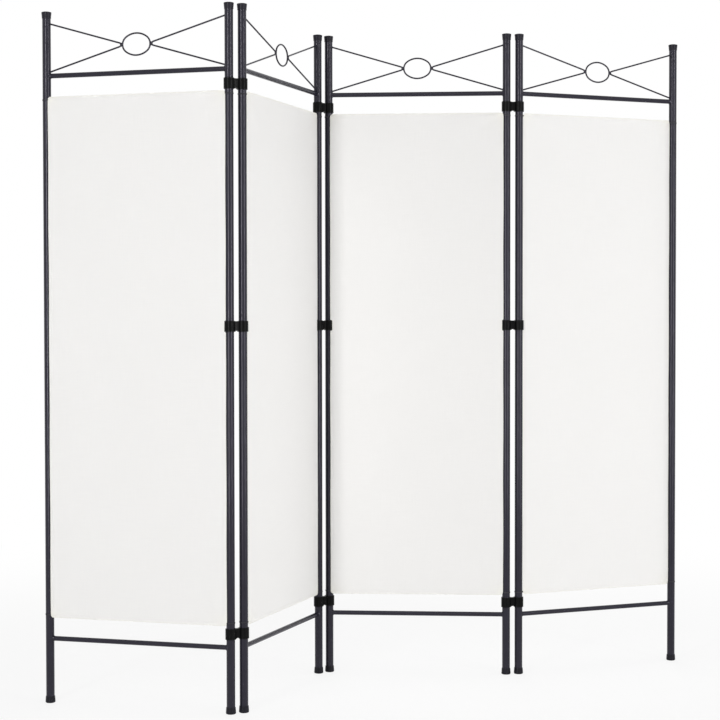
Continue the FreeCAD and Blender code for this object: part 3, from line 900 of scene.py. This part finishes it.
class ElasticLoops(bpy.types.Operator):
    """Makes the elastic loops at the sheets' corners, with the bar tacks that sew them on"""

    bl_idname = "screen.elastic_loops"
    bl_label = "Elastic loops"

    def execute(self, context):
        loops = context.scene.screen_loops
        elastic = knitted_elastic(loops)
        sewing = thread("black_thread", loops.thread_colour)
        for number in PANELS:
            panel = PanelFrame(number)
            cut = SheetCut(panel, context.scene.screen_sheets)
            points = panel.local("loops")
            low, high = points[:, 2].min(), points[:, 2].max()
            heights = (low + loops.width / 2, high - loops.width / 2)
            made = [loop_parts(cut, side, height, loops) for side in SIDES for height in heights]
            maps = np.concatenate([surface for _, surface in made])
            bands = joined([parts[0] for parts, _ in made])
            piece = mesh_object("elastic_loops_{}".format(number), *bands, maps)
            dress(piece, panel.body, elastic)
            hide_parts(panel.node("loops"))
            tacks = mesh_object("bar_tacks_{}".format(number), *joined([parts[1] for parts, _ in made]))
            dress(tacks, panel.body, sewing)
        return {"FINISHED"}


class Welds(bpy.types.Operator):
    """Makes the painted weld beads of the rails, rods and rings"""

    bl_idname = "screen.welds"
    bl_label = "Welds"

    def execute(self, context):
        welds = context.scene.screen_welds
        paint = bpy.data.materials["charcoal_powder_coat"]
        for number in PANELS:
            panel = PanelFrame(number)
            piece = mesh_object("weld_beads_{}".format(number), *weld_parts(panel, welds))
            dress(piece, panel.body, paint)
        return {"FINISHED"}


def seen_background(nodes, links):
    """1 for rays that show the background itself: camera, glossy and transmission rays."""
    path = nodes.new("ShaderNodeLightPath")
    total = path.outputs["Is Camera Ray"]
    for kind in ("Is Glossy Ray", "Is Transmission Ray"):
        larger = nodes.new("ShaderNodeMath")
        larger.operation = "MAXIMUM"
        links.new(total, larger.inputs[0])
        links.new(path.outputs[kind], larger.inputs[1])
        total = larger.outputs[0]
    return total


# Each lamp's name, turn round the screen from the front to the right in degrees, distance and height in
# metres, width and height in metres, power in watts and whether gloss shows it. Two tall strips and one
# overhead draw lines of light along the tubes, and soft panels even out the rest. All face the middle.
LAMP_TARGET = Vector((0, 0, 0.9))
LAMPS = (
    ("strip_left", -27, 4.2, 1.33, (0.36, 2.6), 60, True),
    ("strip_right", 47, 4.2, 1.33, (0.36, 2.6), 49, True),
    ("strip_top", 0, 4.0, 3.4, (3.2, 0.4), 14, True),
    ("panel_right", 100, 5.0, 1.5, (3.0, 2.4), 92, False),
    ("panel_left", -70, 4.5, 1.4, (1.5, 2.2), 10, False),
    ("panel_back", 185, 5.5, 1.8, (3.6, 2.4), 165, False),
)


class Stage(bpy.types.Operator):
    """Sets up the pale floor, the white surround, the soft lights and the camera"""

    bl_idname = "screen.stage"
    bl_label = "Stage"

    def execute(self, context):
        stage = context.scene.screen_stage
        self.surround(context.scene, stage)
        self.floor(stage)
        for name, turn, far, height, size, power, glossy in LAMPS:
            place = Vector((far * math.sin(math.radians(turn)), -far * math.cos(math.radians(turn)), height))
            lamp = self.lamp(name, place, size, power)
            lamp.visible_glossy = glossy
        self.camera(context.scene, stage)
        context.scene.view_settings.view_transform = "Standard"
        return {"FINISHED"}

    def surround(self, scene, stage):
        """Even light from all round, and plain white where the surround itself is seen."""
        world = bpy.data.worlds.new("studio")
        scene.world = world
        world.use_nodes = True
        nodes, links = world.node_tree.nodes, world.node_tree.links
        even, white = nodes["Background"], nodes.new("ShaderNodeBackground")
        for background, strength in ((even, stage.ambient), (white, 1)):
            background.inputs["Color"].default_value = (1, 1, 1, 1)
            background.inputs["Strength"].default_value = strength
        mix = nodes.new("ShaderNodeMixShader")
        links.new(seen_background(nodes, links), mix.inputs[0])
        links.new(even.outputs[0], mix.inputs[1])
        links.new(white.outputs[0], mix.inputs[2])
        links.new(mix.outputs[0], nodes["World Output"].inputs["Surface"])

    def floor(self, stage):
        """A pale disc that keeps the shadow near the screen and is plain white further out."""
        rings = stage.floor_radius * np.array([0, 0.02, 0.05, 0.1, 0.2, 0.5, 1])[:, None]
        turn = np.linspace(0, 2 * np.pi, 64, endpoint=False)[None]
        points = np.stack([rings * np.cos(turn), rings * np.sin(turn), 0 * rings * turn], axis=-1)
        floor = mesh_object("floor", points, grid_faces(rings.size, turn.size, False, True))
        colour = (*stage.floor_colour, 1)
        shader = Shader("pale_floor", Base_Color=colour, Roughness=0.9, Specular_IOR_Level=0.1)
        nodes, links = shader.tree.nodes, shader.tree.links
        far = shader.node("ShaderNodeVectorMath", {0: shader.places()}, 1, operation="LENGTH")
        white_share = 1 - stage.shadow_share * (1 - far.clamped(stage.shadow_start, stage.shadow_end))
        factor = Value(shader, seen_background(nodes, links)) * white_share
        glow = shader.node("ShaderNodeEmission", {"Color": (1, 1, 1, 1), "Strength": 1.0})
        surface = Value(shader, shader.surface.outputs[0])
        mix = shader.node("ShaderNodeMixShader", {0: factor, 1: surface, 2: glow})
        links.new(mix.socket, nodes["Material Output"].inputs["Surface"])
        floor.data.materials.append(shader.material)

    def lamp(self, name, place, size, power):
        """A soft rectangular lamp."""
        light = bpy.data.lights.new(name, "AREA")
        light.shape = "RECTANGLE"
        light.size, light.size_y = size
        light.energy = power
        lamp = new_object(name, light)
        lamp.location = place
        lamp.rotation_euler = (LAMP_TARGET - place).to_track_quat("-Z", "Y").to_euler()
        return lamp

    def camera(self, scene, stage):
        """A camera that looks along +Y, pitched and then rolled."""
        data = bpy.data.cameras.new("camera")
        data.lens = stage.lens
        data.sensor_width = 36
        camera = new_object("camera", data)
        look = Matrix.Rotation(math.pi / 2 + stage.camera_pitch, 4, "X")
        lean = Matrix.Rotation(stage.camera_roll, 4, "Z")
        camera.matrix_world = Matrix.Translation(Vector(stage.camera_place)) @ look @ lean
        scene.camera = camera


OPERATORS = (FrameFinish, Sheets, ElasticLoops, Welds, Stage)


class ScreenPanel(bpy.types.Panel):
    """Lists the screen's sizes, colours and operators"""

    bl_idname = "VIEW3D_PT_folding_screen"
    bl_label = "Folding screen"
    bl_space_type = "VIEW_3D"
    bl_region_type = "UI"
    bl_category = "Screen"

    def draw(self, context):
        for operator in OPERATORS:
            self.layout.operator(operator.bl_idname)
        for name, group in GROUPS.items():
            box = self.layout.box()
            for setting in group.__annotations__:
                box.prop(getattr(context.scene, name), setting)


CLASSES = (*GROUPS.values(), *OPERATORS, ScreenPanel)


def register():
    for cls in CLASSES:
        bpy.utils.register_class(cls)
    for name, group in GROUPS.items():
        setattr(bpy.types.Scene, name, PointerProperty(type=group))


def unregister():
    for name in GROUPS:
        delattr(bpy.types.Scene, name)
    for cls in reversed(CLASSES):
        bpy.utils.unregister_class(cls)


def main():
    register()
    bpy.ops.screen.frame_finish()
    bpy.ops.screen.sheets()
    bpy.ops.screen.elastic_loops()
    bpy.ops.screen.welds()
    bpy.ops.screen.stage()


if __name__ == "__main__":
    main()
